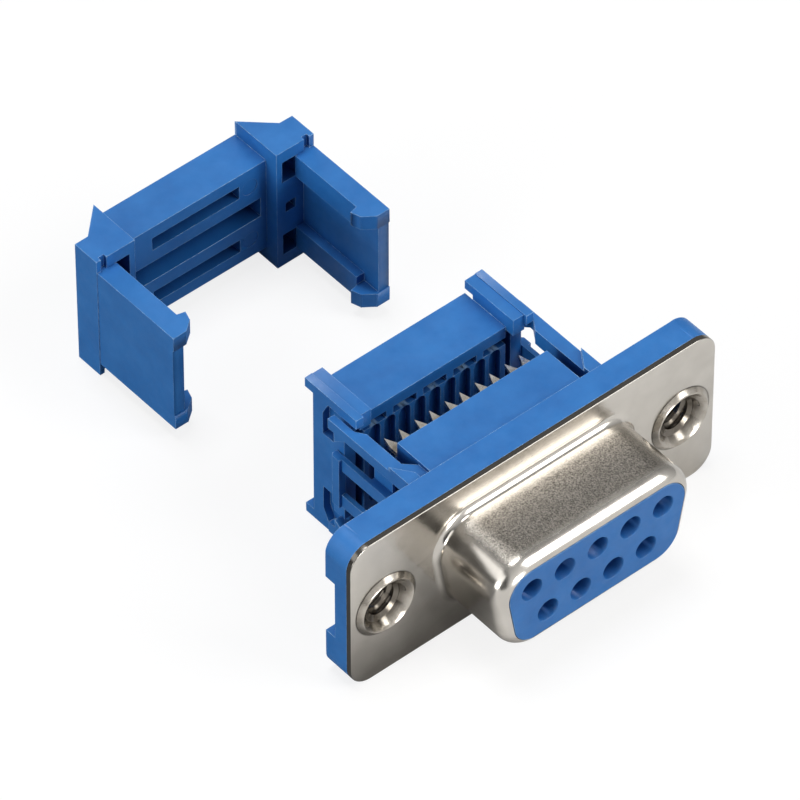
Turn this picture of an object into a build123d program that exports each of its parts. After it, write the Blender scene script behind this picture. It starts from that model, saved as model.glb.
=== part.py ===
"""Nine-way socket D-sub connector for flat ribbon cable, with its cover open and its clip taken off.

Millimetres. X runs along the panel flange, +Y to the cable side, +Z up towards the row of five.
The origin is the centre of the front face of the steel flange.
"""
import os
from math import cos, radians, sin, sqrt, tan

from build123d import *

# Panel flange
screw_spacing = 24.99
flange_end = 2.905
flange_height = 12.5
flange_corner = 1.7
steel = 0.4
flange_depth = 2.08

# D-shaped nose
nose_width = 16.33
nose_height = 7.9
nose_corner = 2.6
nose_slope = 10.0
nose_projection = 6.2
nose_root_radius = 0.55
rim_radius = 1.2
rim_lip = 0.72
face_setback = 0.06
nose_clearance = 0.04

# Contact pattern
upper_ways = 5
lower_ways = 4
socket_pitch = 2.77
socket_row_height = 1.42
fork_pitch = 2.54
fork_height = 3.8

# Socket barrel of a contact
barrel_diameter = 1.5
pin_bore = 1.04
barrel_front = 4.7
barrel_rear = 0.3
pin_depth = 4.6
strip = 0.34
neck_width = 1.0
bend_radius = 0.45
riser_depth = 2.0
neck_overlap = 0.5

# Wire fork of a contact
fork_tip_depth = 8.15
fork_shoulder_depth = 7.29
fork_root_depth = 4.4
fork_half_width = 0.84
fork_tip_offset = 0.62
fork_mouth = 0.22
wire_slot = 0.22
wire_slot_length = 2.4

# Contact ways through the insulator
entry_diameter = 1.25
recess_diameter = 1.66
recess_depth = 1.05
recess_lead = 0.05
contact_clearance = 0.06

# Insulator block and its side arms
block_width = 12.64
block_height = 11.2
block_rear = 6.15
arm_outer = 8.14
guide_low = 4.42
guide_high = 5.3
guide_rear = 10.87
guide_step = 8.9
guide_step_front = 8.2
lip_low = 4.05
lip_width = 0.3
catch_tip_low = 3.65
catch_tip_front = 9.2
catch_tip_rear = 10.25
plate_front = 5.4
plate_rear = 7.2
plate_width = 0.22
gusset_rise = 0.35
gusset_depth = 4.9
gusset_inner_depth = 3.4
web_reach = 4.8
loop_half_height = 2.2
loop_window_half_height = 1.11
loop_arm_outer = 7.92
loop_bar_front = 9.75
loop_rear = 10.65
bar_chamfer = 0.2
notch_depth = 0.91
notch_reach = 2.9

# Cable cover, standing open behind the forks
cover_half_width = 7.5
saddle_half_width = 6.0
saddle_half_height = 5.08
saddle_front = 9.8
saddle_rear = 13.85
rib_half_height = 6.25
rib_front = 9.07
rib_rear = 13.9
rib_skirt = 0.28
rib_step = 0.06
rib_step_width = 0.88
cheek_front = 9.97
cheek_rear = 13.1
cheek_thickness = 0.95
cheek_gap_depth = 1.5
rib_lead = 0.28
track_floor = 6.95
track_rear = 12.1
catch_low = 2.5
catch_front = 11.05
catch_corner = 0.5
cable_ways = 9
cable_pitch = 1.27
cable_groove_width = 0.96
cable_groove_depth = 0.5
cable_groove_half_length = 3.5
fork_pocket_depth = 1.7
fork_pocket_height = 0.6
fork_pocket_clearance = 0.13
cover_slide_gap = 0.06
slide_clearance = 0.15

# Strain relief clip, lying behind the cover
clip_x = -0.79
clip_z = -0.95
ear_half_height = 5.3
ear_front = 32.0
ear_depth = 2.25
ear_inner = 6.0
ear_proud = 0.06
ear_shoulder = 8.15
bridge_setback = 1.1
bridge_depth = 3.2
bridge_half_height = 4.07
clip_web = 0.9
clip_rim_inner = 7.62
hook_front = 24.2
hook_length = 1.57
hook_low = 3.05
hook_crest = 7.0
hook_crest_depth = 1.42
hook_lead = 7.24
hook_lead_depth = 0.65
hook_nose = 8.1
hook_round = 0.3
clip_web_setback = 0.1
bridge_slot_depth = 2.2
bridge_slot_half_length = 3.7
bridge_middle_slot_half_length = 5.5
bridge_slot_low = 1.95
bridge_slot_high = 3.05
bridge_middle_slot = 0.85
ear_pocket_inner = 6.5
ear_pocket_width = 1.3
ear_pocket_low = 2.45
ear_pocket_high = 4.3
ear_pocket_depth = 1.4
ear_dimple_inner = 6.75
ear_dimple_size = 0.85
ear_dimple_depth = 0.6
ear_notch_inner = 8.4
ear_notch_width = 0.45
ear_notch_depth = 0.3
pin_mark_x = 4.6
pin_mark_z = 2.45
pin_mark_diameter = 1.3
pin_mark_depth = 0.05

# Threaded inserts, 4-40 UNC
thread_major = 2.84
insert_barrel = 3.9
insert_lip = 4.9
insert_lip_crest = 4.3
insert_lip_rise = 0.34
insert_lip_edge = 0.24
insert_mouth = 4.16
insert_collar_width = 4.1
insert_collar_height = 4.86
insert_clearance = 0.05
collar_clearance = 0.07
collar_corner = 0.5

# Reach of the searches for edges and faces that lie at a known place
tolerance = 0.01

screw_x = screw_spacing / 2
flange_length = screw_spacing + flange_end * 2
flange_rear = steel + flange_depth
bend_to_chamfer = 2 - sqrt(2)
guide_inner = track_floor + slide_clearance
guide_thin_inner = cover_half_width + cover_slide_gap
track_low = lip_low - slide_clearance
rib_low = guide_high + slide_clearance
clip_rim_low = loop_half_height + slide_clearance
clip_arm_half_height = guide_low - slide_clearance
clip_half_width = arm_outer + slide_clearance + clip_web
ear_outer = clip_half_width + ear_proud
ear_side_rear = ear_front + ear_depth
bridge_front = ear_front + bridge_setback
bridge_rear = bridge_front + bridge_depth
hook_rear = hook_front + hook_length
clip_web_front = hook_front + clip_web_setback
notch_height = insert_collar_height + collar_clearance * 2
os.makedirs("parts", exist_ok=True)


def depth_plane(y):
    """Plane facing the mating side, at depth y behind the panel face."""
    return Plane.XZ.offset(-y)


def height_plane(z):
    """Plane facing up, at height z."""
    return Plane.XY.offset(z)


def side_plane(x):
    """Plane facing +X, at x along the flange."""
    return Plane.YZ.offset(x)


def finish(piece, name):
    """Label a finished piece and write its file."""
    piece.part.label = name
    export_step(piece.part, f"parts/{name}.step")


def nose_outline(plane, inset):
    """D outline, wide side up, moved inwards by inset."""
    slope = radians(nose_slope)
    top = nose_width / 2 + nose_corner * ((1 + sin(slope)) / cos(slope) - 1)
    bottom = top - nose_height * tan(slope)
    half = nose_height / 2
    with BuildSketch(plane) as outline:
        with BuildLine():
            Polyline((-top, half), (top, half), (bottom, -half), (-bottom, -half), close=True)
        make_face()
        fillet(outline.vertices(), nose_corner)
        if inset > 0:
            offset(amount=-inset, kind=Kind.INTERSECTION, mode=Mode.REPLACE)
    return outline.sketch


def row_positions(ways, pitch):
    """X positions of one row, centred on the connector."""
    return [(way - (ways - 1) / 2) * pitch for way in range(ways)]


def contact_places():
    """Socket x, fork x and side (+1 upper row, -1 lower row) of every way, in number order."""
    places = []
    for ways, side in ((upper_ways, 1), (lower_ways, -1)):
        sockets = row_positions(ways, socket_pitch)
        forks = row_positions(ways, fork_pitch)
        places += [(socket, fork, side) for socket, fork in zip(sockets, forks)]
    return places


# Space inside the steel nose, which the plastic nose also fills
with BuildPart() as nose_core:
    with BuildSketch(depth_plane(steel)):
        add(nose_outline(Plane.XY, steel))
    extrude(amount=nose_projection)
    chamfer(nose_core.faces().sort_by(Axis.Y)[0].edges(), (rim_radius - steel) * bend_to_chamfer)

# Steel front shell: flange and drawn nose in one piece, its front edge rolled over
with BuildPart() as front_shell:
    with BuildSketch(depth_plane(steel)):
        RectangleRounded(flange_length, flange_height, flange_corner)
    extrude(amount=steel)
    with BuildSketch(depth_plane(steel)):
        add(nose_outline(Plane.XY, 0))
    extrude(amount=steel + nose_projection)
    flange_face = front_shell.faces().filter_by_position(Axis.Y, -tolerance, tolerance)[0]
    chamfer(flange_face.inner_wires()[0].edges(), nose_root_radius * bend_to_chamfer)
    fillet(front_shell.faces().sort_by(Axis.Y)[0].edges(), rim_radius)
    add(nose_core.part, mode=Mode.SUBTRACT)
    with BuildSketch(depth_plane(0)):
        add(nose_outline(Plane.XY, rim_lip))
    extrude(amount=nose_projection + steel, mode=Mode.SUBTRACT)
    with Locations(Plane.XZ):
        with Locations((-screw_x, 0), (screw_x, 0)):
            Hole((insert_barrel + insert_clearance * 2) / 2)
finish(front_shell, "front_shell")

# Insulator: nose, panel flange, contact block, guides and latch loops in one moulding
block_half_width = block_width / 2
way_places = contact_places()
socket_spots = [(socket, side * socket_row_height) for socket, fork, side in way_places]
fork_spots = [(fork, side * fork_height) for socket, fork, side in way_places]
insert_spots = [(-screw_x, 0), (screw_x, 0)]
barrel_way = barrel_diameter + contact_clearance * 2
blade_way_height = strip + contact_clearance * 2
riser_way_top = fork_height + blade_way_height / 2
riser_way_front = riser_depth - strip / 2 - contact_clearance
riser_way_spots = [
    ((socket + fork) / 2, side * (socket_row_height + riser_way_top) / 2)
    for socket, fork, side in way_places
]
with BuildPart() as insulator_body:
    # Guide of one corner, stepped thinner where the cover's cheek runs inside it
    with BuildSketch(height_plane(guide_low)):
        with BuildLine():
            Polyline(
                (guide_inner, steel),
                (arm_outer, steel),
                (arm_outer, guide_rear),
                (guide_thin_inner, guide_rear),
                (guide_thin_inner, guide_step),
                (guide_inner, guide_step_front),
                close=True,
            )
        make_face()
    extrude(amount=guide_high - guide_low)
    # Lip under the guide's inner edge, with a short plate down to the loop arm
    with BuildSketch(height_plane(lip_low)):
        with Locations((guide_inner, steel)):
            Rectangle(lip_width, guide_step_front - steel, align=Align.MIN)
    extrude(amount=guide_low - lip_low)
    with BuildSketch(height_plane(loop_window_half_height)):
        with Locations((guide_inner, plate_front)):
            Rectangle(plate_width, plate_rear - plate_front, align=Align.MIN)
    extrude(amount=lip_low - loop_window_half_height)
    with BuildSketch(height_plane(loop_window_half_height)):
        with Locations((guide_inner, steel)):
            Rectangle(guide_thin_inner - guide_inner, plate_rear - steel, align=Align.MIN)
    extrude(amount=loop_half_height - loop_window_half_height)
    # Catch under the guide's end
    with BuildSketch(side_plane(guide_thin_inner)):
        with BuildLine():
            Polyline(
                (catch_tip_front, guide_low),
                (catch_tip_rear, guide_low),
                (catch_tip_rear, catch_tip_low),
                close=True,
            )
        make_face()
    extrude(amount=arm_outer - guide_thin_inner)
    # Gusset that ties the guide's root to the flange
    with BuildSketch(height_plane(guide_high)):
        with BuildLine():
            Polyline(
                (guide_inner, steel),
                (arm_outer, steel),
                (arm_outer, gusset_depth),
                (guide_inner, gusset_inner_depth),
                close=True,
            )
        make_face()
    extrude(amount=gusset_rise)
    # Loop arm and half of the loop's end bar
    with BuildSketch(height_plane(loop_window_half_height)):
        with Locations((guide_thin_inner, steel)):
            Rectangle(loop_arm_outer - guide_thin_inner, loop_rear - steel, align=Align.MIN)
    extrude(amount=loop_half_height - loop_window_half_height)
    with BuildSketch(height_plane(0)):
        with Locations((guide_thin_inner, loop_bar_front)):
            Rectangle(arm_outer - guide_thin_inner, loop_rear - loop_bar_front, align=Align.MIN)
    extrude(amount=loop_half_height)
    mirror(about=Plane.YZ)
    # Webs that tie the left guides to the block
    with BuildSketch(height_plane(guide_low)):
        with BuildLine():
            Polyline(
                (-block_half_width, steel),
                (-guide_inner, steel),
                (-guide_inner, web_reach),
                (-block_half_width, web_reach - guide_inner + block_half_width),
                close=True,
            )
        make_face()
    extrude(amount=guide_high - guide_low)
    mirror(about=Plane.XY)
    bar_edges = insulator_body.edges().filter_by(Axis.Z)
    bar_edges = bar_edges.filter_by_position(Axis.Y, loop_rear - tolerance, loop_rear + tolerance)
    chamfer(bar_edges.group_by(Axis.X)[0] + bar_edges.group_by(Axis.X)[-1], bar_chamfer)
    # Flange and contact block
    with BuildSketch(depth_plane(flange_rear)):
        RectangleRounded(flange_length, flange_height, flange_corner)
    extrude(amount=flange_depth)
    with BuildSketch(depth_plane(block_rear)):
        Rectangle(block_width, block_height)
    extrude(amount=block_rear - steel)
    # Slots behind the ends of the flange, where the collars of the inserts sit
    with BuildSketch(depth_plane(flange_rear)):
        for end in (-1, 1):
            with Locations((end * (screw_x + (flange_end - notch_reach) / 2), 0)):
                Rectangle(notch_reach + flange_end, notch_height)
    extrude(amount=notch_depth, mode=Mode.SUBTRACT)
    with BuildSketch(depth_plane(flange_rear)):
        with Locations(*insert_spots):
            Circle(insert_barrel / 2 + insert_clearance)
    extrude(amount=flange_depth, mode=Mode.SUBTRACT)
    # Nose inside the steel, with its face filling the opening of the rolled rim
    with BuildSketch(depth_plane(flange_rear)):
        add(nose_outline(Plane.XY, steel + nose_clearance))
    extrude(amount=flange_depth + nose_projection - nose_clearance)
    nose_edges = insulator_body.faces().sort_by(Axis.Y)[0].edges()
    chamfer(nose_edges, (rim_radius - steel) * bend_to_chamfer)
    with BuildSketch(depth_plane(0)):
        add(nose_outline(Plane.XY, rim_lip + nose_clearance))
    extrude(amount=nose_projection - face_setback)
    # Ways for the sockets, the risers and the fork blades, open at the cable side
    with BuildSketch(depth_plane(block_rear)):
        with Locations(*socket_spots):
            Circle(barrel_way / 2)
    extrude(amount=block_rear + barrel_front + contact_clearance, mode=Mode.SUBTRACT)
    with BuildSketch(depth_plane(block_rear)):
        with Locations(*riser_way_spots):
            Rectangle(neck_width + contact_clearance * 2, riser_way_top - socket_row_height)
    extrude(amount=block_rear - riser_way_front, mode=Mode.SUBTRACT)
    with BuildSketch(depth_plane(block_rear)):
        with Locations(*fork_spots):
            Rectangle(fork_half_width * 2 + contact_clearance * 2, blade_way_height)
    extrude(amount=block_rear - fork_root_depth + contact_clearance, mode=Mode.SUBTRACT)
    # Pin entries, each at the bottom of a recess in the nose face
    with BuildSketch(depth_plane(0)):
        with Locations(*socket_spots):
            Circle(entry_diameter / 2)
    extrude(amount=nose_projection, mode=Mode.SUBTRACT)
    with BuildSketch(depth_plane(face_setback - nose_projection)):
        with Locations(*socket_spots):
            Circle(recess_diameter / 2)
    extrude(amount=-recess_depth, mode=Mode.SUBTRACT)
    recess_edges = insulator_body.faces().sort_by(Axis.Y)[0].edges().filter_by(GeomType.CIRCLE)
    recess_edges = recess_edges.filter_by(lambda edge: edge.radius < recess_diameter)
    chamfer(recess_edges, recess_lead)
finish(insulator_body, "insulator_body")


def build_contact(socket, fork, side):
    """One stamped contact: socket barrel, cranked neck and wire fork."""
    row = side * socket_row_height
    level = side * fork_height
    neck_left = (socket + fork - neck_width) / 2
    with BuildPart() as contact:
        with BuildSketch(depth_plane(barrel_rear)):
            with Locations((socket, row)):
                Circle(barrel_diameter / 2)
        extrude(amount=barrel_front + barrel_rear)
        with BuildSketch(depth_plane(-barrel_front)):
            with Locations((socket, row)):
                Circle(pin_bore / 2)
        extrude(amount=-pin_depth, mode=Mode.SUBTRACT)
        # Neck, cranked from the socket row out to the fork row
        with BuildSketch(side_plane(neck_left)):
            with BuildLine():
                FilletPolyline(
                    (0, row),
                    (riser_depth, row),
                    (riser_depth, level),
                    (fork_root_depth + neck_overlap, level),
                    radius=bend_radius,
                )
            trace(line_width=strip)
        extrude(amount=neck_width)
        # Fork blade with two pointed tines
        slot_bottom = fork_shoulder_depth - wire_slot_length
        with BuildSketch(Plane((fork, 0, level - strip / 2))):
            with BuildLine():
                Polyline(
                    (0, fork_root_depth),
                    (fork_half_width, fork_root_depth),
                    (fork_half_width, fork_shoulder_depth),
                    (fork_tip_offset, fork_tip_depth),
                    (fork_mouth, fork_shoulder_depth),
                    (wire_slot / 2, fork_shoulder_depth - fork_mouth),
                    (wire_slot / 2, slot_bottom),
                    (0, slot_bottom),
                    close=True,
                )
            make_face()
            mirror(about=Plane.YZ)
        extrude(amount=strip)
    return contact


for number, (socket_x, fork_x, row_side) in enumerate(way_places, start=1):
    finish(build_contact(socket_x, fork_x, row_side), f"contact_{number}")


def build_insert(x):
    """Threaded insert: flared lip on the steel, barrel through the flange, square collar behind."""
    bore = thread_major / 2
    barrel = insert_barrel / 2
    lip = insert_lip / 2
    crest = insert_lip_crest / 2
    mouth = insert_mouth / 2
    with BuildPart() as insert:
        with BuildSketch(Plane((x, 0, 0))):
            with BuildLine():
                Polyline(
                    (mouth, -insert_lip_rise),
                    (bore, mouth - bore - insert_lip_rise),
                    (bore, flange_rear),
                    (barrel, flange_rear),
                    (barrel, 0),
                    (lip, 0),
                    (crest, -insert_lip_edge),
                    close=True,
                )
            make_face()
        revolve(axis=Axis((x, 0, 0), (0, 1, 0)))
        with BuildSketch(depth_plane(flange_rear)):
            with Locations((x, 0)):
                RectangleRounded(insert_collar_width, insert_collar_height, collar_corner)
                Circle(barrel, mode=Mode.SUBTRACT)
        extrude(amount=notch_depth)
    return insert


finish(build_insert(-screw_x), "threaded_insert_left")
finish(build_insert(screw_x), "threaded_insert_right")

# Cable cover: grooved saddle between two cheeks, with a rib along each cheek's upper and lower edge
cheek_inner = cover_half_width - cheek_thickness
rib_strip_width = cover_half_width - saddle_half_width - rib_step_width
skirt_height = rib_low - saddle_half_height + rib_skirt
groove_spots = [(x, 0) for x in row_positions(cable_ways, cable_pitch)]
with BuildPart() as cable_cover:
    with BuildSketch(depth_plane(rib_rear)):
        with Locations((saddle_half_width, rib_low)):
            Rectangle(cover_half_width - saddle_half_width, rib_half_height - rib_low, align=Align.MIN)
        with Locations((saddle_half_width, rib_half_height)):
            Rectangle(rib_step_width, rib_step, align=(Align.MIN, Align.MAX), mode=Mode.SUBTRACT)
    extrude(amount=rib_rear - rib_front)
    with BuildSketch(depth_plane(rib_front)):
        with Locations((saddle_half_width + rib_step_width, rib_low)):
            Rectangle(rib_strip_width, rib_half_height - rib_low, align=Align.MIN)
    extrude(amount=rib_lead)
    with BuildSketch(depth_plane(cheek_rear)):
        with Locations((saddle_half_width, saddle_half_height - rib_skirt)):
            Rectangle(track_floor - saddle_half_width, skirt_height, align=Align.MIN)
    extrude(amount=cheek_rear - rib_front)
    with BuildSketch(depth_plane(cheek_rear)):
        with Locations((cheek_inner, 0)):
            Rectangle(cheek_thickness, rib_low, align=Align.MIN)
    extrude(amount=cheek_rear - cheek_front)
    # Floor of the gap between the cheek and the saddle
    with BuildSketch(depth_plane(cheek_rear)):
        with Locations((saddle_half_width, 0)):
            Rectangle(cheek_inner - saddle_half_width, rib_low, align=Align.MIN)
    extrude(amount=cheek_rear - cheek_front - cheek_gap_depth)
    # Track of the guide along the cheek, with a catch pocket at its end
    with BuildSketch(depth_plane(track_rear - catch_corner)):
        with Locations((track_floor, track_low)):
            Rectangle(cover_half_width - track_floor, rib_low - track_low, align=Align.MIN)
    extrude(amount=track_rear - catch_corner - rib_front, mode=Mode.SUBTRACT)
    with BuildSketch(side_plane(track_floor)):
        with BuildLine():
            Polyline(
                (catch_front, catch_low),
                (track_rear, catch_low),
                (track_rear, rib_low - catch_corner * 2),
                (track_rear - catch_corner, rib_low),
                (catch_front, rib_low),
                close=True,
            )
        make_face()
    extrude(amount=cover_half_width - track_floor, mode=Mode.SUBTRACT)
    mirror(about=Plane.YZ)
    mirror(about=Plane.XY)
    with BuildSketch(depth_plane(saddle_rear)):
        Rectangle(saddle_half_width * 2, saddle_half_height * 2)
    extrude(amount=saddle_rear - saddle_front)
    with BuildSketch(depth_plane(saddle_front)):
        with Locations(*groove_spots):
            SlotOverall(cable_groove_half_length * 2, cable_groove_width, rotation=90)
    extrude(amount=-cable_groove_depth, mode=Mode.SUBTRACT)
    with BuildSketch(depth_plane(saddle_front)):
        with Locations(*fork_spots):
            Rectangle((fork_half_width + fork_pocket_clearance) * 2, fork_pocket_height)
    extrude(amount=-fork_pocket_depth, mode=Mode.SUBTRACT)
finish(cable_cover, "cable_cover")


def clip_height(z):
    """Plane facing up in the clip's own frame, at height z above its middle."""
    return Plane((clip_x, 0, clip_z + z))


def clip_depth(y):
    """Plane facing the mating side in the clip's own frame, at depth y."""
    return Plane(origin=(clip_x, y, clip_z), x_dir=(1, 0, 0), z_dir=(0, -1, 0))


# Strain relief clip: ribbed bridge, two tall ears and two channelled arms with paired hooks
with BuildPart() as strain_relief_clip:
    with BuildSketch(clip_height(0)):
        with BuildLine():
            Polyline(
                (ear_inner, ear_front),
                (ear_outer, ear_front),
                (ear_outer, ear_side_rear),
                (ear_shoulder, ear_side_rear),
                (ear_inner, bridge_rear),
                close=True,
            )
        make_face()
    extrude(amount=ear_half_height)
    with BuildSketch(clip_height(0)):
        with Locations((0, bridge_front)):
            Rectangle(ear_inner, bridge_rear - bridge_front, align=Align.MIN)
    extrude(amount=bridge_half_height)
    with BuildSketch(clip_height(0)):
        with Locations((clip_half_width - clip_web, clip_web_front)):
            Rectangle(clip_web, ear_front - clip_web_front, align=Align.MIN)
    extrude(amount=clip_arm_half_height)
    with BuildSketch(clip_height(clip_rim_low)):
        with Locations((clip_rim_inner, hook_rear)):
            Rectangle(clip_half_width - clip_rim_inner, ear_front - hook_rear, align=Align.MIN)
    extrude(amount=clip_arm_half_height - clip_rim_low)
    with BuildSketch(clip_height(hook_low)) as hook:
        with BuildLine():
            Polyline(
                (clip_rim_inner, hook_rear),
                (hook_crest, hook_front + hook_crest_depth),
                (hook_lead, hook_front + hook_lead_depth),
                (hook_nose, hook_front),
                (clip_half_width, hook_front),
                (clip_half_width, hook_rear),
                close=True,
            )
        make_face()
        corner_rows = hook.vertices().group_by(Axis.Y)
        fillet(corner_rows[0].sort_by(Axis.X)[:1] + corner_rows[1], hook_round)
    extrude(amount=clip_arm_half_height - hook_low)
    # Cored pockets in the front of the ears, a shallow one between them, and a notch above each arm
    with BuildSketch(clip_depth(ear_front)):
        with Locations((ear_pocket_inner, ear_pocket_low)):
            Rectangle(ear_pocket_width, ear_pocket_high - ear_pocket_low, align=Align.MIN)
    extrude(amount=-ear_pocket_depth, mode=Mode.SUBTRACT)
    with BuildSketch(clip_depth(ear_front)):
        with Locations((ear_dimple_inner, 0)):
            Rectangle(ear_dimple_size, ear_dimple_size / 2, align=Align.MIN)
    extrude(amount=-ear_dimple_depth, mode=Mode.SUBTRACT)
    with BuildSketch(clip_depth(ear_front)):
        with Locations((ear_notch_inner, clip_arm_half_height)):
            Rectangle(ear_notch_width, ear_half_height - clip_arm_half_height, align=Align.MIN)
    extrude(amount=-ear_notch_depth, mode=Mode.SUBTRACT)
    # Slots between the gripping ribs of the bridge
    with BuildSketch(clip_depth(bridge_front)):
        with Locations((0, bridge_slot_low)):
            Rectangle(bridge_slot_half_length, bridge_slot_high - bridge_slot_low, align=Align.MIN)
        Rectangle(bridge_middle_slot_half_length, bridge_middle_slot, align=Align.MIN)
    extrude(amount=-bridge_slot_depth, mode=Mode.SUBTRACT)
    mirror(about=Plane.YZ.offset(clip_x))
    # Marks of the ejector pins at one end of the bridge
    with BuildSketch(clip_depth(bridge_front)):
        with Locations((pin_mark_x, pin_mark_z)):
            Circle(pin_mark_diameter / 2)
    extrude(amount=-pin_mark_depth, mode=Mode.SUBTRACT)
    mirror(about=Plane.XY.offset(clip_z))
finish(strain_relief_clip, "strain_relief_clip")
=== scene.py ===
"""Looks of the nine-way socket D-sub for ribbon cable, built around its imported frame.

X runs along the flange, +Y to the cable side, +Z up. Depth is Y behind the panel face, negative in front of it.
Sizes are named in millimetres and turned to metres by MM, but for the floor's radius, the lamps and the camera's
clipping, which are in metres.
"""
from math import acos, cos, degrees, pi, radians, sin, tan

import bmesh
import bpy
from mathutils import Euler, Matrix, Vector, noise


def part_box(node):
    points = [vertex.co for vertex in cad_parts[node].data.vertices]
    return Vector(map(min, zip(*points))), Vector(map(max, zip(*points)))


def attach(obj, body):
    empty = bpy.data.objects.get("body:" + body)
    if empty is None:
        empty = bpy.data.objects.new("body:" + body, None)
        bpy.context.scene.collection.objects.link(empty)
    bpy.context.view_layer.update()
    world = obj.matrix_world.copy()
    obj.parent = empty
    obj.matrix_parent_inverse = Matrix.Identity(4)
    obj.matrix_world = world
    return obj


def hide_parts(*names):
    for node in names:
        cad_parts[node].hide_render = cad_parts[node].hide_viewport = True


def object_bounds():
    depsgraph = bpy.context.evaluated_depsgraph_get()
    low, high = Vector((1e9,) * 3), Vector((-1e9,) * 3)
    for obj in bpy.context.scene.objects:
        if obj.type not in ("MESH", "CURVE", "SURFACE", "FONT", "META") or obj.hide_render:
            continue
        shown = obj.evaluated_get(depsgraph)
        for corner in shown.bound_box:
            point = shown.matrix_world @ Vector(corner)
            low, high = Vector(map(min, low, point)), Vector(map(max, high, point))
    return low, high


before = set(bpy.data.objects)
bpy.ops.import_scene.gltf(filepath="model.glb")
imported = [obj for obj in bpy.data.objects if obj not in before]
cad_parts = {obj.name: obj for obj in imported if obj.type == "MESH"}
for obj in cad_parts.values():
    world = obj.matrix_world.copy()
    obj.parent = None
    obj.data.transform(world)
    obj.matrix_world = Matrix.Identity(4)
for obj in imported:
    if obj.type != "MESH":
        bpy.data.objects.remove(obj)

cad_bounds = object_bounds()
MM = 0.001

# Camera, as the photograph sees the part
CAMERA_PLACE = (-252.03, -283.04, 407.90)
CAMERA_TURN = (43.610, 0.0, -40.382)
CAMERA_LENS = 391.1
CAMERA_CLIP = (0.01, 5.0)
SENSOR_WIDTH = 36.0

# World: strength behind and in front of the part, and the directions between which one passes into the other
WORLD_BACK = 0.36
WORLD_FRONT = 0.9
WORLD_BACK_EDGE = 0.1
WORLD_FRONT_EDGE = -1.0
# Share of it that is left at the far left, and the directions between which it rises to the whole
WORLD_LEFT = 0.12
WORLD_LEFT_EDGES = (-0.72, -0.5)
# Share of it that matt faces get, as soft fill
WORLD_FILL = 0.14

# Lamps that face the part: place, size and power
LAMPS = {
    "key": ((0.313, -0.42, 0.47), (0.30, 0.44), 2.0),
    "overhead": ((-0.02, 0.12, 0.70), (0.26, 0.26), 2.4),
    "front_low": ((-0.05, -0.62, 0.09), (0.24, 0.14), 1.2),
    "left_low": ((-0.63, 0.02, 0.10), (0.24, 0.14), 1.3),
    "left_strip": ((-0.50, 0.15, 0.31), (0.70, 0.30), 1.0),
    "back_low": ((0.25, 0.62, 0.14), (0.30, 0.18), 1.1),
}
LAMP_AIM = (0, 0.01, 0)

# Floor: size, gap under the part, and its grey to the camera, to matt faces, and to metal close by, where a shadow is
# painted, and in the open
FLOOR_RADIUS = 0.9
FLOOR_STEPS = 96
FLOOR_GAP = 0.02
FLOOR_SEEN = 0.2
FLOOR_BOUNCED = 0.22
FLOOR_CLOSE_SHADE = 0.22
FLOOR_OPEN = 0.84
# Its own light, to the camera and through glass, and to metal
FLOOR_GLOW = 0.81
FLOOR_GLOW_MIRRORED = 0.02

# Where one look passes into another, as depths
DRAWN_GRAIN = (-0.4, -1.3)
SMOOTH_RIM = (-4.8, -5.5)
SHEARED_EDGE = (0.004, 0.04)
INSERT_MOUTH = (0.30, 0.36)
BORE_SHADE = (-0.3, 0.2)
TIP_HIGHLIGHT_DEPTHS = (7.0, 7.8)
OPEN_FLOOR_FRONT = (-0.5, -7.5)
# The same, as distances to the right of the middle and from a screw's axis
OPEN_FLOOR_RIGHT = (5.0, 12.0)
LIP_SHADOW = (2.46, 2.56)
BORE_WALL = (1.46, 1.56)
# The same, as how far a face looks up or down
FLAT_FACES = (0.82, 0.98)
# Middle range of a noise value, which is spread out over the whole
NOISE_RANGE = (0.3, 0.7)

# Steel shell
FLANGE_CORNER = 1.7
STEEL = 0.4
PUNCHED_EDGE = 0.07
NOSE_WIDTH = 16.33
NOSE_HEIGHT = 7.9
NOSE_CORNER = 2.6
NOSE_SLOPE = 10.0
NOSE_PROJECTION = 6.2
ROOT_RADIUS = 0.55
RIM_RADIUS = 1.2
RIM_LIP = 0.72
WALL_SHARES = (0.33, 0.67)
CORNER_STEPS = 20
BEND_STEPS = 10
EDGE_STEPS = 4
SHELL_CREASE = 50.0

# Threaded inserts, 4-40 UNC
SCREW_X = 12.495
HOLE_RADIUS = 2.0
BARREL_RADIUS = 1.95
TURN_STEPS = 64
INSERT_CREASE = 40.0
# Lip, as radius and depth near the flange, then as radius and depth below the crest
LIP_FOOT = ((2.45, 0.0), (2.45, -0.03), (2.41, -0.07))
LIP_TOP = ((2.18, 0.07), (2.13, 0.015), (2.09, 0.0), (2.04, 0.03))
# Funnel at the mouth: its widest radius and depth, how fast it narrows, and its end below the crest
FUNNEL_MOUTH = 1.86
FUNNEL_START = -0.18
FUNNEL_SLOPE = 0.88
FUNNEL_END = 0.66
# Thread: bore radius at its root, how far the ridge stands in from there, and how far its foot is sunk
THREAD_MAJOR = 1.42
THREAD_PITCH = 0.635
THREAD_START = 0.02
THREAD_TURNS = 3.3
THREAD_DEPTH = 0.25
THREAD_SUNK = 0.02
# Half widths of the ridge in pitches, and the turns over which it rises and runs out
THREAD_FOOT_HALF = 0.46
THREAD_CREST_HALF = 0.08
THREAD_RISE = 0.4
THREAD_RUN_OUT = 0.3

# Rounding of moulded and stamped edges
PLASTIC_EDGE = 0.11
METAL_EDGE = 0.05
EDGE_RAGGED = 0.022
EDGE_RAGGED_LENGTH = 0.35
SHARP_ANGLE = 32.0
EDGE_BAND = "edge_band"
# Room that an edge needs, in widths of its rounding, and the cosine from which a neighbour counts as in line with it
EDGE_ROOM = 2.4
IN_LINE = 0.985
# Corners closer than this are one, and faces at a smaller angle than this are one flat face
WELD_DISTANCE = 0.0005
FLAT_ANGLE = 0.6
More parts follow.
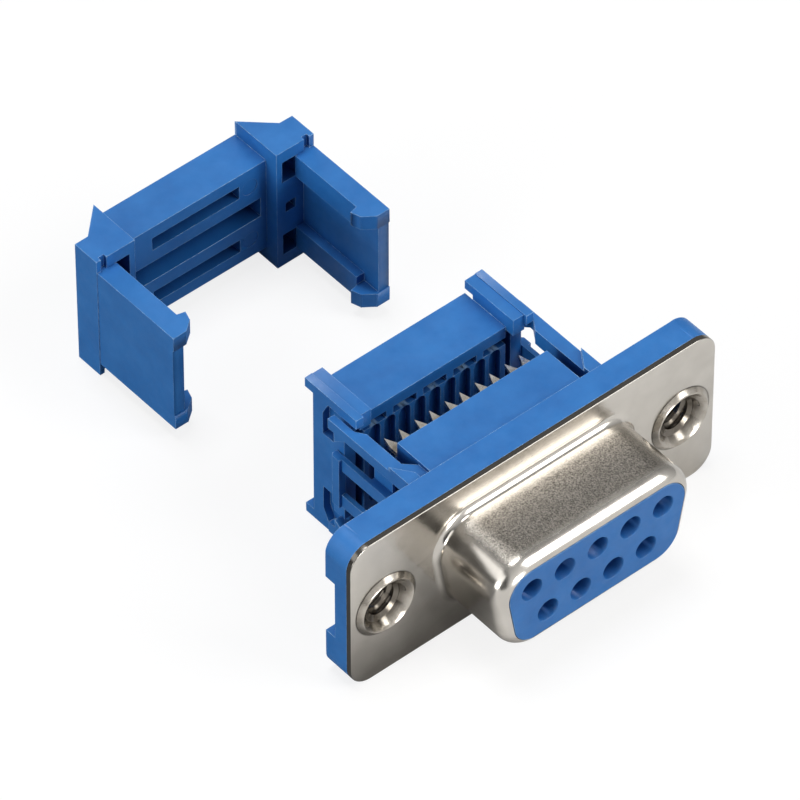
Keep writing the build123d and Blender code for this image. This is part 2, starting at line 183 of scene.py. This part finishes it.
# How much the large faces lead the normals
NORMAL_WEIGHT = 80


def colour(red, green, blue):
    """Linear colour with full alpha, from the sRGB values of 0 to 255."""
    def linear(value):
        share = value / 255
        return share / 12.92 if share <= 0.04045 else ((share + 0.055) / 1.055) ** 2.4
    return (linear(red), linear(green), linear(blue), 1.0)


def grey(value):
    """Linear grey with full alpha."""
    return (value, value, value, 1.0)


class Tree:
    """A node tree, with short calls to add and join nodes."""

    def __init__(self, tree):
        self.tree = tree

    def join(self, socket, value):
        """Link an input to another node's output, or set its value."""
        if isinstance(value, bpy.types.NodeSocket):
            self.tree.links.new(value, socket)
        else:
            socket.default_value = value

    def add(self, kind, inputs=None, **settings):
        """Add a node, set its properties, and set or join its inputs."""
        node = self.tree.nodes.new(kind)
        for key, value in settings.items():
            setattr(node, key, value)
        for key, value in (inputs or {}).items():
            self.join(node.inputs[key], value)
        return node

    def split(self, vector):
        """X, Y and Z of a vector, as outputs by name."""
        return self.add("ShaderNodeSeparateXYZ", {0: vector}).outputs

    def math(self, operation, first, second=0.0):
        """One math operation."""
        return self.add("ShaderNodeMath", {0: first, 1: second}, operation=operation).outputs[0]

    def ramp(self, value, low, high, out_low, out_high):
        """Map a value from one range to another, held at the ends."""
        inputs = {0: value, 1: low, 2: high, 3: out_low, 4: out_high}
        return self.add("ShaderNodeMapRange", inputs).outputs[0]

    def mix(self, share, first, second):
        """Mix two colours by a share."""
        node = self.add("ShaderNodeMix", data_type="RGBA")
        for key, value in {"Factor": share, "A": first, "B": second}.items():
            self.join([socket for socket in node.inputs if socket.name == key and socket.enabled][0], value)
        return [socket for socket in node.outputs if socket.enabled][0]


class Surface(Tree):
    """The node tree of a new material."""

    def __init__(self, name):
        self.material = bpy.data.materials.new(name)
        self.material.use_nodes = True
        super().__init__(self.material.node_tree)
        self.shader = self.tree.nodes["Principled BSDF"]
        coordinates = self.add("ShaderNodeTexCoord").outputs
        self.place = coordinates["Object"]
        self.normal = coordinates["Normal"]

    def set(self, key, value):
        """Set or join one input of the surface shader."""
        self.join(self.shader.inputs[key], value)

    def noise(self, size_mm, detail=3.0, roughness=0.5, stretch=None):
        """Noise value whose features are about size_mm across."""
        place = self.place
        if stretch:
            place = self.add("ShaderNodeVectorMath", {0: place, 1: stretch}, operation="MULTIPLY").outputs[0]
        inputs = {"Vector": place, "Scale": 1 / (size_mm * MM), "Detail": detail, "Roughness": roughness}
        return self.add("ShaderNodeTexNoise", inputs).outputs["Fac"]

    def spread(self, value, out_low=0.0, out_high=1.0):
        """Spread the middle range of a noise value over another range."""
        return self.ramp(value, *NOISE_RANGE, out_low, out_high)

    def fade(self, length, ends_mm, out_start, out_end):
        """Map a length between two ends in millimetres, held beyond them."""
        start, end = ends_mm
        return self.ramp(length, start * MM, end * MM, out_start, out_end)

    def edge_band(self):
        """One on the edges that were rounded, and zero elsewhere."""
        return self.add("ShaderNodeAttribute", attribute_name=EDGE_BAND).outputs["Fac"]

    def from_screw(self, parts):
        """Distance from the axis of the nearer screw, for the split place."""
        across = self.math("SUBTRACT", self.math("ABSOLUTE", parts["X"]), SCREW_X * MM)
        lever = self.add("ShaderNodeCombineXYZ", {0: across, 1: parts["Z"]}).outputs[0]
        return self.add("ShaderNodeVectorMath", {0: lever}, operation="LENGTH").outputs["Value"]

    def occlusion(self, distance_mm, inside=False):
        """Share of open space around a point of the piece itself, outside it or within it."""
        inputs = {"Distance": distance_mm * MM}
        node = self.add("ShaderNodeAmbientOcclusion", inputs, samples=4, inside=inside, only_local=True)
        return node.outputs["AO"]

    def bump(self, height, strength, distance_mm, normal=None):
        """Bump from a height, on top of another normal if one is given."""
        inputs = {"Height": height, "Strength": strength, "Distance": distance_mm * MM}
        if normal is not None:
            inputs["Normal"] = normal
        return self.add("ShaderNodeBump", inputs).outputs[0]


def moulded_plastic():
    """Blue glass-filled thermoplastic: satin and faintly mottled, with painted shade in its hollows, and edges paler
    partly by wear and partly by painted highlight.
    """
    n = Surface("blue_plastic")
    deep = colour(34, 107, 180)
    pale = colour(46, 121, 195)
    # Painted shade: the hollows are darkened towards this colour where the piece closes round them.
    painted_hollow_shade = colour(16, 62, 128)
    # Pale edges, partly wear and partly a painted highlight on the rounded and convex edges, broken into patches.
    edge = colour(168, 206, 238)
    body = n.mix(n.spread(n.noise(2.6, 4.0, 0.6)), deep, pale)
    band = n.edge_band()
    corner = n.ramp(n.occlusion(0.13, inside=True), 0.75, 0.4, 0.0, 0.6)
    edge_patchiness = n.ramp(n.noise(0.5, 3.0, 0.7), 0.35, 0.6, 0.25, 1.0)
    worn_and_highlit_edge = n.math("MULTIPLY", n.math("MAXIMUM", band, corner), edge_patchiness)
    openness = n.ramp(n.occlusion(2.2), 0.15, 0.75, 0.0, 1.0)
    n.set("Base Color", n.mix(worn_and_highlit_edge, n.mix(openness, painted_hollow_shade, body), edge))
    satin = n.spread(n.noise(0.8, 4.0, 0.6), 0.36, 0.5)
    n.set("Roughness", n.math("SUBTRACT", satin, n.math("MULTIPLY", band, 0.12)))
    fine = n.bump(n.noise(0.07, 2.0, 0.5), 0.12, 0.02)
    n.set("Normal", n.bump(n.noise(1.8, 2.0, 0.5), 0.10, 0.06, fine))
    n.set("IOR", 1.5)
    return n.material


def nickel_shell():
    """Satin nickel on drawn steel: smooth on the flange, grainy on the flats of the nose, dark at the sheared edge,
    partly as rough steel and partly as painted shade.
    """
    n = Surface("shell_nickel")
    parts = n.split(n.place)
    drawn = n.fade(parts["Y"], DRAWN_GRAIN, 0.0, 1.0)
    rim = n.fade(parts["Y"], SMOOTH_RIM, 1.0, 0.1)
    flat = n.ramp(n.math("ABSOLUTE", n.split(n.normal)["Z"]), *FLAT_FACES, 0.12, 1.0)
    grain_share = n.math("MULTIPLY", n.math("MULTIPLY", drawn, rim), flat)
    grain = n.noise(0.115, 3.0, 0.7)
    cloud = n.noise(2.2, 3.0, 0.55)
    plain = n.mix(n.spread(cloud), colour(199, 194, 186), colour(213, 208, 200))
    pitted = n.mix(n.ramp(grain, 0.36, 0.64, 0.0, 1.0), colour(38, 34, 30), colour(160, 154, 145))
    drawn_steel = n.mix(n.math("MULTIPLY", grain_share, 0.85), plain, pitted)
    # Painted shadow: a dark ring on the steel round each insert's lip, where the gap under the lip would be in shade.
    ring = n.fade(n.from_screw(parts), LIP_SHADOW, 0.85, 0.0)
    lip_shadowed = n.mix(ring, drawn_steel, colour(62, 58, 52))
    # Dark sheared edge: partly its rough steel, partly painted shade of the groove against the plastic.
    sheared = n.fade(parts["Y"], SHEARED_EDGE, 0.0, 0.85)
    n.set("Base Color", n.mix(sheared, lip_shadowed, colour(84, 81, 77)))
    n.set("Metallic", 1.0)
    smooth = n.spread(cloud, 0.15, 0.22)
    n.set("Roughness", n.math("ADD", smooth, n.math("MULTIPLY", grain_share, 0.16)))
    wave = n.bump(n.noise(5.0, 2.0, 0.5), 0.10, 0.12)
    pits = n.bump(n.math("MULTIPLY", grain, grain_share), 0.55, 0.05, wave)
    n.set("Normal", n.bump(n.noise(0.05, 2.0, 0.5, (1.0, 1.0, 0.25)), 0.05, 0.01, pits))
    return n.material


def nickel_insert():
    """Bright nickel on turned brass, with fine turning marks, and painted shade that darkens it down the bore and in
    its mouth.
    """
    n = Surface("insert_nickel")
    cloud = n.noise(0.7, 3.0, 0.6)
    parts = n.split(n.place)
    in_bore = n.fade(n.from_screw(parts), BORE_WALL, 1.0, 0.0)
    in_mouth = n.fade(parts["Y"], INSERT_MOUTH, 1.0, 0.0)
    # Painted shade: the bore and the mouth darken more the deeper they go.
    shade = n.fade(parts["Y"], BORE_SHADE, 0.25, 0.85)
    painted_bore_shade = n.math("MULTIPLY", shade, n.math("MAXIMUM", in_bore, in_mouth))
    bright = n.mix(n.spread(cloud), colour(190, 182, 170), colour(226, 220, 210))
    n.set("Base Color", n.mix(painted_bore_shade, bright, colour(84, 77, 68)))
    n.set("Metallic", 1.0)
    n.set("Roughness", n.spread(cloud, 0.12, 0.22))
    n.set("Normal", n.bump(n.noise(0.2, 3.0, 0.6, (1.0, 6.0, 1.0)), 0.12, 0.03))
    return n.material


def plated_contact():
    """Plated copper alloy, warm on its rolled faces, with a painted highlight that brightens the tips and the rounded
    edges.
    """
    n = Surface("contact_plating")
    # Painted highlight: the tips and the rounded edges are lightened towards a near-white colour.
    tip_highlight = n.fade(n.split(n.place)["Y"], TIP_HIGHLIGHT_DEPTHS, 0.0, 0.8)
    cloud = n.spread(n.noise(0.5, 3.0, 0.6))
    warm = n.mix(cloud, colour(166, 156, 142), colour(206, 197, 182))
    n.set("Base Color", n.mix(n.math("MAXIMUM", tip_highlight, n.edge_band()), warm, colour(246, 242, 234)))
    n.set("Metallic", 1.0)
    n.set("Roughness", n.ramp(cloud, 0.0, 1.0, 0.2, 0.34))
    n.set("Normal", n.bump(n.noise(0.12, 2.0, 0.5, (4.0, 1.0, 1.0)), 0.12, 0.02))
    return n.material


def settle(mesh, sharp_angle):
    """Smooth shading, with the creases sharper than an angle in degrees kept."""
    mesh.shade_smooth()
    mesh.set_sharp_from_angle(angle=radians(sharp_angle))


def finish_piece(piece, node, body, material):
    """Weigh the normals, dress the piece, and let it stand for its CAD node."""
    weigh = piece.modifiers.new("weigh", "WEIGHTED_NORMAL")
    weigh.keep_sharp = True
    weigh.weight = NORMAL_WEIGHT
    graph = bpy.context.evaluated_depsgraph_get()
    mesh = bpy.data.meshes.new_from_object(piece.evaluated_get(graph), preserve_all_data_layers=True, depsgraph=graph)
    piece.modifiers.clear()
    piece.data = mesh
    mesh.materials.clear()
    mesh.materials.append(material)
    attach(piece, body)
    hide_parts(node)


def new_piece(name, mesh):
    """Link a new object that holds a mesh."""
    piece = bpy.data.objects.new(name, mesh)
    bpy.context.scene.collection.objects.link(piece)
    return piece


def room_beside(edge, vertex):
    """Length of the shortest other edge at one end of an edge, leaving out those in line with it."""
    along = (edge.other_vert(vertex).co - vertex.co).normalized()
    lengths = []
    for other in vertex.link_edges:
        if other is edge:
            continue
        away = other.other_vert(vertex).co - vertex.co
        if abs(away.normalized().dot(along)) < IN_LINE:
            lengths.append(away.length)
    return min(lengths, default=1.0)


def rounded_copy(node, name, edge_width, ragged=0.0):
    """Copy of a CAD node with its sharp edges rounded, marked and left slightly ragged, as moulding leaves them."""
    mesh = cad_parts[node].data.copy()
    work = bmesh.new()
    work.from_mesh(mesh)
    bmesh.ops.remove_doubles(work, verts=work.verts, dist=WELD_DISTANCE * MM)
    bmesh.ops.dissolve_limit(work, angle_limit=radians(FLAT_ANGLE), verts=work.verts, edges=work.edges)
    band = work.faces.layers.float.new(EDGE_BAND)
    width = edge_width * MM
    room = width * EDGE_ROOM
    sharp = [
        edge for edge in work.edges
        if edge.is_manifold
        and edge.calc_face_angle(0.0) > radians(SHARP_ANGLE)
        and edge.calc_length() > room
        and all(room_beside(edge, vertex) > room for vertex in edge.verts)
    ]
    made = bmesh.ops.bevel(
        work, geom=sharp, offset=width, offset_type="OFFSET", segments=2, profile=0.5,
        affect="EDGES", clamp_overlap=True,
    )
    for face in made["faces"]:
        face[band] = 1.0
    if ragged:
        for vertex in {vertex for face in made["faces"] for vertex in face.verts}:
            unevenness = 0.5 + noise.noise(vertex.co / (EDGE_RAGGED_LENGTH * MM))
            vertex.co -= vertex.normal * ragged * MM * unevenness
    bmesh.ops.recalc_face_normals(work, faces=work.faces)
    work.to_mesh(mesh)
    work.free()
    settle(mesh, SHARP_ANGLE)
    return new_piece(name, mesh)


def bend(centre, radius, start, end, steps):
    """Points along an arc, from one angle in degrees to another."""
    angles = [radians(start + (end - start) * step / steps) for step in range(steps + 1)]
    return [(centre[0] + radius * cos(angle), centre[1] + radius * sin(angle)) for angle in angles]


def nose_outline(inset):
    """D outline in millimetres, moved inwards by inset, with the same number of points at every inset."""
    slope = radians(NOSE_SLOPE)
    half = NOSE_HEIGHT / 2
    radius = NOSE_CORNER
    # Half widths of the D where its sides, drawn out, meet its upper and its lower edge
    top = NOSE_WIDTH / 2 + radius * ((1 + sin(slope)) / cos(slope) - 1)
    bottom = top - NOSE_HEIGHT * tan(slope)
    # Distances from the middle to the centres of the upper and lower corners
    high = top - radius * (1 + sin(slope)) / cos(slope)
    low = bottom - radius * (1 - sin(slope)) / cos(slope)
    points = []
    for centre, start, end in (
        ((high, half - radius), -NOSE_SLOPE, 90),
        ((-high, half - radius), 90, 180 + NOSE_SLOPE),
        ((-low, radius - half), 180 + NOSE_SLOPE, 270),
        ((low, radius - half), 270, 360 - NOSE_SLOPE),
    ):
        points += bend(centre, radius - inset, start, end, CORNER_STEPS)
    return points


def flange_outline(inset):
    """Flange outline in millimetres, moved inwards by inset."""
    low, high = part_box("front_shell")
    half_x = high.x / MM - FLANGE_CORNER
    half_z = high.z / MM - FLANGE_CORNER
    radius = FLANGE_CORNER - inset
    points = []
    for quarter, (side_x, side_z) in enumerate(((1, 1), (-1, 1), (-1, -1), (1, -1))):
        start = quarter * 90
        points += bend((side_x * half_x, side_z * half_z), radius, start, start + 90, CORNER_STEPS)
    return points


def circle_outline(x, radius):
    """Circle in millimetres about a screw's axis."""
    return bend((x, 0), radius, 0, 360 - 360 / TURN_STEPS, TURN_STEPS - 1)


def add_ring(work, outline, depth):
    """Closed ring of corners at one depth."""
    return [work.verts.new((x * MM, depth * MM, z * MM)) for x, z in outline]


def join_rings(work, rings):
    """Bands of four-sided faces from each ring to the next."""
    for first, second in zip(rings, rings[1:]):
        for index in range(len(first)):
            after = (index + 1) % len(first)
            work.faces.new((first[index], first[after], second[after], second[index]))


def fill_between(work, rings):
    """Flat face with holes, between an outer ring and inner rings."""
    edges = []
    for ring in rings:
        for index, corner in enumerate(ring):
            edges.append(work.edges.get((corner, ring[(index + 1) % len(ring)])))
    bmesh.ops.triangle_fill(work, use_beauty=True, use_dissolve=False, edges=edges)


def finish_mesh(work, name, sharp_angle):
    """Mesh of the finished work, with its faces turned outwards and its creases kept."""
    bmesh.ops.recalc_face_normals(work, faces=work.faces)
    mesh = bpy.data.meshes.new(name)
    work.to_mesh(mesh)
    work.free()
    settle(mesh, sharp_angle)
    return mesh


def front_shell():
    """Steel flange and drawn nose: root bend, walls, rolled rim and the inside of the sheet."""
    work = bmesh.new()
    # Section of the nose, as inset from its outline and depth
    wall = NOSE_PROJECTION - ROOT_RADIUS - RIM_RADIUS
    rim_centre = (RIM_RADIUS, RIM_RADIUS - NOSE_PROJECTION)
    inner = RIM_RADIUS - STEEL
    lip_angle, inner_angle = (180 + degrees(acos((RIM_RADIUS - RIM_LIP) / radius)) for radius in (RIM_RADIUS, inner))
    profile = bend((-ROOT_RADIUS, -ROOT_RADIUS), ROOT_RADIUS, 90, 0, BEND_STEPS)
    profile += [(0, -ROOT_RADIUS - share * wall) for share in WALL_SHARES]
    profile += bend(rim_centre, RIM_RADIUS, 180, lip_angle, BEND_STEPS)
    profile += bend(rim_centre, inner, inner_angle, 180, BEND_STEPS)
    profile += [(STEEL, STEEL)]
    nose = [add_ring(work, nose_outline(inset), depth) for inset, depth in profile]
    join_rings(work, nose)
    edge = bend((PUNCHED_EDGE, PUNCHED_EDGE), PUNCHED_EDGE, 270, 180, EDGE_STEPS) + [(0, STEEL)]
    sides = [add_ring(work, flange_outline(inset), depth) for inset, depth in edge]
    join_rings(work, sides)
    holes = []
    for x in (-SCREW_X, SCREW_X):
        hole = [add_ring(work, circle_outline(x, HOLE_RADIUS), depth) for depth in (0, STEEL)]
        join_rings(work, hole)
        holes.append(hole)
    for end in (0, -1):
        fill_between(work, [sides[end], nose[end]] + [hole[end] for hole in holes])
    return new_piece("steel_front_shell", finish_mesh(work, "front_shell_looks", SHELL_CREASE))


def bore_radius(depth):
    """Radius of an insert's bore at a depth, wider in the funnel at its mouth."""
    return max(THREAD_MAJOR, FUNNEL_MOUTH - FUNNEL_SLOPE * (depth - FUNNEL_START))


def thread_ridge(work, x):
    """Helical ridge of the internal thread, standing in from the bore and running out in the funnel."""
    half_foot = THREAD_PITCH * THREAD_FOOT_HALF
    half_crest = THREAD_PITCH * THREAD_CREST_HALF
    sections = []
    count = int(THREAD_TURNS * TURN_STEPS)
    for step in range(count + 1):
        angle = 2 * pi * step / TURN_STEPS
        depth = THREAD_START + THREAD_PITCH * step / TURN_STEPS
        ease = min(1.0, step / (TURN_STEPS * THREAD_RISE), (count - step) / (TURN_STEPS * THREAD_RUN_OUT))
        crest_radius = bore_radius(depth) - THREAD_DEPTH * ease
        shape = (
            (bore_radius(depth - half_foot) + THREAD_SUNK, depth - half_foot),
            (crest_radius, depth - half_crest),
            (crest_radius, depth + half_crest),
            (bore_radius(depth + half_foot) + THREAD_SUNK, depth + half_foot),
        )
        sections.append([
            work.verts.new(((x + radius * cos(angle)) * MM, along * MM, radius * sin(angle) * MM))
            for radius, along in shape
        ])
    join_rings(work, sections)
    work.faces.new(sections[0])
    work.faces.new(list(reversed(sections[-1])))


def threaded_insert(node, name, x):
    """Insert with a flared lip, a funnel, a threaded bore and a round barrel.

    Its solid also has a square collar behind the flange, which isn't drawn here.
    """
    low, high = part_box(node)
    crest = low.y / MM
    rear = high.y / MM
    profile = [*LIP_FOOT, *((radius, crest + below) for radius, below in LIP_TOP)]
    profile += [(FUNNEL_MOUTH, FUNNEL_START), (THREAD_MAJOR, crest + FUNNEL_END)]
    profile += [(THREAD_MAJOR, rear), (BARREL_RADIUS, rear), (BARREL_RADIUS, 0.0)]
    work = bmesh.new()
    rings = [add_ring(work, circle_outline(x, radius), depth) for radius, depth in profile]
    join_rings(work, [*rings, rings[0]])
    thread_ridge(work, x)
    return new_piece(name, finish_mesh(work, name, INSERT_CREASE))


def dress_part(plastic, shell, insert, contact):
    """Every visible piece, each standing for its CAD node, in the materials given."""
    finish_piece(front_shell(), "front_shell", "connector", shell)
    for side, x in (("left", -SCREW_X), ("right", SCREW_X)):
        node = f"threaded_insert_{side}"
        finish_piece(threaded_insert(node, f"insert_{side}", x), node, "connector", insert)
    for node, name, body in (
        ("insulator_body", "insulator_moulding", "connector"),
        ("cable_cover", "cover_moulding", "cover"),
        ("strain_relief_clip", "clip_moulding", "clip"),
    ):
        piece = rounded_copy(node, name, PLASTIC_EDGE, EDGE_RAGGED)
        finish_piece(piece, node, body, plastic)
    for number in range(1, 10):
        node = f"contact_{number}"
        piece = rounded_copy(node, f"socket_contact_{number}", METAL_EDGE)
        finish_piece(piece, node, "connector", contact)


def floor_material():
    """White floor to the camera, but for the part's shadow; greyer to the part, above all close to it on the left,
    where a shadow is painted for metal to reflect.
    """
    n = Surface("studio_floor")
    rays = n.add("ShaderNodeLightPath").outputs
    parts = n.split(n.place)
    # Painted shadow: to metal, the floor is darker close to the part, but for its right.
    in_front = n.fade(parts["Y"], OPEN_FLOOR_FRONT, 0.0, 1.0)
    to_right = n.fade(parts["X"], OPEN_FLOOR_RIGHT, 0.0, 0.9)
    mirrored_with_shadow = n.mix(n.math("MAXIMUM", in_front, to_right), grey(FLOOR_CLOSE_SHADE), grey(FLOOR_OPEN))
    bounced = n.mix(rays["Is Diffuse Ray"], mirrored_with_shadow, grey(FLOOR_BOUNCED))
    n.set("Base Color", n.mix(rays["Is Camera Ray"], bounced, grey(FLOOR_SEEN)))
    n.set("Roughness", 0.9)
    n.set("Specular IOR Level", 0.0)
    seen = n.math("MAXIMUM", rays["Is Camera Ray"], rays["Is Transmission Ray"])
    shine = n.math("MULTIPLY", rays["Is Glossy Ray"], FLOOR_GLOW_MIRRORED)
    n.set("Emission Color", grey(1.0))
    n.set("Emission Strength", n.math("ADD", n.math("MULTIPLY", seen, FLOOR_GLOW), shine))
    return n.material


def build_floor():
    """Plain round floor under the lowest point of the part."""
    work = bmesh.new()
    bmesh.ops.create_circle(work, cap_ends=True, segments=FLOOR_STEPS, radius=FLOOR_RADIUS)
    mesh = bpy.data.meshes.new("studio_floor")
    work.to_mesh(mesh)
    work.free()
    floor = new_piece("studio_floor", mesh)
    floor.location = (0, 0, cad_bounds[0][2] - FLOOR_GAP * MM)
    mesh.materials.append(floor_material())


def build_world():
    """White to the camera; to the part, soft grey that brightens towards the front and is darker on the left."""
    world = bpy.data.worlds.new("studio_world")
    bpy.context.scene.world = world
    world.use_nodes = True
    n = Tree(world.node_tree)
    rays = n.add("ShaderNodeLightPath").outputs
    parts = n.split(n.add("ShaderNodeTexCoord").outputs["Generated"])
    front = n.ramp(parts["Y"], WORLD_BACK_EDGE, WORLD_FRONT_EDGE, WORLD_BACK, WORLD_FRONT)
    left = n.ramp(parts["X"], *WORLD_LEFT_EDGES, WORLD_LEFT, 1.0)
    fill = n.ramp(rays["Is Diffuse Ray"], 0.0, 1.0, 1.0, WORLD_FILL)
    to_part = n.math("MULTIPLY", n.math("MULTIPLY", front, left), fill)
    background = n.tree.nodes["Background"].inputs
    n.join(background["Strength"], n.math("MAXIMUM", rays["Is Camera Ray"], to_part))
    n.join(background["Color"], grey(1.0))


def build_lights():
    """Six soft lamps: key, overhead, low ones at the front, left and back, and a long strip on the left."""
    for name, (place, size, power) in LAMPS.items():
        light = bpy.data.lights.new(name, "AREA")
        light.shape = "RECTANGLE"
        light.size, light.size_y = size
        light.energy = power
        lamp = bpy.data.objects.new(name, light)
        bpy.context.scene.collection.objects.link(lamp)
        lamp.location = place
        aim = Vector(LAMP_AIM) - Vector(place)
        lamp.rotation_euler = aim.to_track_quat("-Z", "Y").to_euler()


def build_camera():
    """Camera at the photograph's place, turn and lens."""
    camera = bpy.data.cameras.new("photo_camera")
    camera.sensor_width = SENSOR_WIDTH
    camera.lens = CAMERA_LENS
    camera.clip_start, camera.clip_end = CAMERA_CLIP
    holder = bpy.data.objects.new("photo_camera", camera)
    bpy.context.scene.collection.objects.link(holder)
    holder.location = Vector(CAMERA_PLACE) * MM
    holder.rotation_euler = Euler([radians(angle) for angle in CAMERA_TURN], "XYZ")
    bpy.context.scene.camera = holder


dress_part(moulded_plastic(), nickel_shell(), nickel_insert(), plated_contact())
build_floor()
build_world()
build_lights()
build_camera()
bpy.context.scene.view_settings.view_transform = "Standard"
